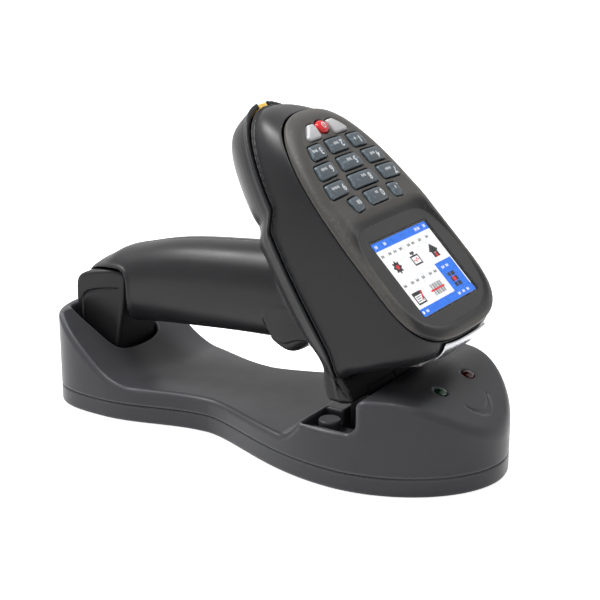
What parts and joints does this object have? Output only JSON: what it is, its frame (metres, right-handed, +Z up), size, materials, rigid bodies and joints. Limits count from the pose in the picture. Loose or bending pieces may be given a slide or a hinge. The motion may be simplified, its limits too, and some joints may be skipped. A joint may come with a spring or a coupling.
{
  "type": "portable barcode data terminal",
  "caption": "Gun-shaped barcode scanner terminal with a tilted keypad and screen head, standing in its long charging cradle.",
  "frame": {"origin": "centre of the cradle's footprint, on the surface that it stands on", "axes": "+X towards the head end, +Z up, Y = 0 is the mirror plane"},
  "size_m": [0.212, 0.087, 0.1423],
  "materials": {
    "cradle_plastic": "satin",
    "housing_plastic": "satin",
    "trigger_plastic": "satin",
    "panel_plastic": "fine matte",
    "blue_key": "satin silicone",
    "grey_key": "satin silicone",
    "power_key": "gloss",
    "foot_rubber": "matte",
    "mat_rubber": "matte",
    "black_insert": "semi gloss",
    "circuit_board": "solder mask",
    "cell_sleeve": "shrink sleeve",
    "amber_pipe": "clear amber",
    "green_lens": "tinted",
    "red_lens": "tinted",
    "screen_glass": "clear",
    "display_glass": "lit display",
    "scan_glass": "dark red",
    "lens_glass": "clear",
    "silver_plate": "satin",
    "gold_contact": "plated",
    "steel": "zinc plated"
  },
  "bodies": {
    "cradle": {"cradle_shell": "cradle_plastic", "cradle_base": "cradle_plastic", "cradle_feet": "foot_rubber", "cradle_screws": "steel", "ballast_plate": "steel", "cradle_board": "circuit_board", "data_socket": "steel", "radio_module": "steel", "green_lens": "green_lens", "red_lens": "red_lens", "contact_block": "black_insert", "contact_spring_near": "steel", "contact_spring_far": "steel"},
    "pin_near": {"contact_pin_near": "gold_contact"},
    "pin_far": {"contact_pin_far": "gold_contact"},
    "terminal": {"upper_housing": "housing_plastic", "face_panel": "panel_plastic", "screen_window": "screen_glass", "display": "display_glass", "key_mat": "mat_rubber", "main_board": "circuit_board", "inner_frame": "black_insert", "name_plate": "silver_plate", "light_pipe": "amber_pipe", "window_frame": "black_insert", "scan_window": "scan_glass", "scan_engine": "black_insert", "scan_lens": "lens_glass", "beeper": "black_insert", "grip_near": "housing_plastic", "grip_far": "housing_plastic", "battery": "cell_sleeve", "battery_spring": "steel", "butt_cap": "housing_plastic", "butt_screw": "steel", "charge_pads": "gold_contact", "trigger_pin": "steel", "trigger_spring": "steel", "trigger_board": "circuit_board", "trigger_switch": "black_insert", "grip_screws": "steel"},
    "trigger": {"trigger": "trigger_plastic"},
    "button_key_1": {"key_1": "blue_key"},
    "button_key_2": {"key_2": "blue_key"},
    "button_key_3": {"key_3": "blue_key"},
    "button_key_4": {"key_4": "blue_key"},
    "button_key_5": {"key_5": "blue_key"},
    "button_key_6": {"key_6": "blue_key"},
    "button_key_7": {"key_7": "blue_key"},
    "button_key_8": {"key_8": "blue_key"},
    "button_key_9": {"key_9": "blue_key"},
    "button_key_0": {"key_0": "blue_key"},
    "button_key_f": {"key_f": "blue_key"},
    "button_key_point": {"key_point": "blue_key"},
    "button_power_key": {"power_key": "power_key"},
    "button_corner_key_near": {"corner_key_near": "grey_key"},
    "button_corner_key_far": {"corner_key_far": "grey_key"}
  },
  "joints": [
    {"name": "terminal_lift", "type": "slide", "parent": "cradle", "child": "terminal", "axis": [0, 0, 1], "range_m": [0, 0.08]},
    {"name": "trigger_pull", "type": "hinge", "parent": "terminal", "child": "trigger", "pos_m": [0.026, 0, 0.047], "axis": [0, 1, 0], "range_deg": [0, 6], "stiffness_Nm_per_rad": 0.15, "springref_deg": -8.59, "deforming": ["trigger_spring"]},
    {"name": "pin_near_press", "type": "slide", "parent": "cradle", "child": "pin_near", "axis": [0, 0, 1], "range_m": [-0.0012, 0], "stiffness_N_per_m": 300, "springref_m": 0.0008, "deforming": ["contact_spring_near"]},
    {"name": "pin_far_press", "type": "slide", "parent": "cradle", "child": "pin_far", "axis": [0, 0, 1], "range_m": [-0.0012, 0], "stiffness_N_per_m": 300, "springref_m": 0.0008, "deforming": ["contact_spring_far"]},
    {"name": "key_1_press", "type": "slide", "parent": "terminal", "child": "button_key_1", "axis": [-0.7071, 0, -0.7071], "range_m": [0, 0.0008], "stiffness_N_per_m": 800, "springref_m": -0.0004},
    {"name": "key_2_press", "type": "slide", "parent": "terminal", "child": "button_key_2", "axis": [-0.7071, 0, -0.7071], "range_m": [0, 0.0008], "stiffness_N_per_m": 800, "springref_m": -0.0004},
    {"name": "key_3_press", "type": "slide", "parent": "terminal", "child": "button_key_3", "axis": [-0.7071, 0, -0.7071], "range_m": [0, 0.0008], "stiffness_N_per_m": 800, "springref_m": -0.0004},
    {"name": "key_4_press", "type": "slide", "parent": "terminal", "child": "button_key_4", "axis": [-0.7071, 0, -0.7071], "range_m": [0, 0.0008], "stiffness_N_per_m": 800, "springref_m": -0.0004},
    {"name": "key_5_press", "type": "slide", "parent": "terminal", "child": "button_key_5", "axis": [-0.7071, 0, -0.7071], "range_m": [0, 0.0008], "stiffness_N_per_m": 800, "springref_m": -0.0004},
    {"name": "key_6_press", "type": "slide", "parent": "terminal", "child": "button_key_6", "axis": [-0.7071, 0, -0.7071], "range_m": [0, 0.0008], "stiffness_N_per_m": 800, "springref_m": -0.0004},
    {"name": "key_7_press", "type": "slide", "parent": "terminal", "child": "button_key_7", "axis": [-0.7071, 0, -0.7071], "range_m": [0, 0.0008], "stiffness_N_per_m": 800, "springref_m": -0.0004},
    {"name": "key_8_press", "type": "slide", "parent": "terminal", "child": "button_key_8", "axis": [-0.7071, 0, -0.7071], "range_m": [0, 0.0008], "stiffness_N_per_m": 800, "springref_m": -0.0004},
    {"name": "key_9_press", "type": "slide", "parent": "terminal", "child": "button_key_9", "axis": [-0.7071, 0, -0.7071], "range_m": [0, 0.0008], "stiffness_N_per_m": 800, "springref_m": -0.0004},
    {"name": "key_0_press", "type": "slide", "parent": "terminal", "child": "button_key_0", "axis": [-0.7071, 0, -0.7071], "range_m": [0, 0.0008], "stiffness_N_per_m": 800, "springref_m": -0.0004},
    {"name": "key_f_press", "type": "slide", "parent": "terminal", "child": "button_key_f", "axis": [-0.7071, 0, -0.7071], "range_m": [0, 0.0008], "stiffness_N_per_m": 800, "springref_m": -0.0004},
    {"name": "key_point_press", "type": "slide", "parent": "terminal", "child": "button_key_point", "axis": [-0.7071, 0, -0.7071], "range_m": [0, 0.0008], "stiffness_N_per_m": 800, "springref_m": -0.0004},
    {"name": "power_key_press", "type": "slide", "parent": "terminal", "child": "button_power_key", "axis": [-0.7071, 0, -0.7071], "range_m": [0, 0.0008], "stiffness_N_per_m": 800, "springref_m": -0.0004},
    {"name": "corner_key_near_press", "type": "slide", "parent": "terminal", "child": "button_corner_key_near", "axis": [-0.7071, 0, -0.7071], "range_m": [0, 0.0008], "stiffness_N_per_m": 800, "springref_m": -0.0004},
    {"name": "corner_key_far_press", "type": "slide", "parent": "terminal", "child": "button_corner_key_far", "axis": [-0.7071, 0, -0.7071], "range_m": [0, 0.0008], "stiffness_N_per_m": 800, "springref_m": -0.0004}
  ]
}
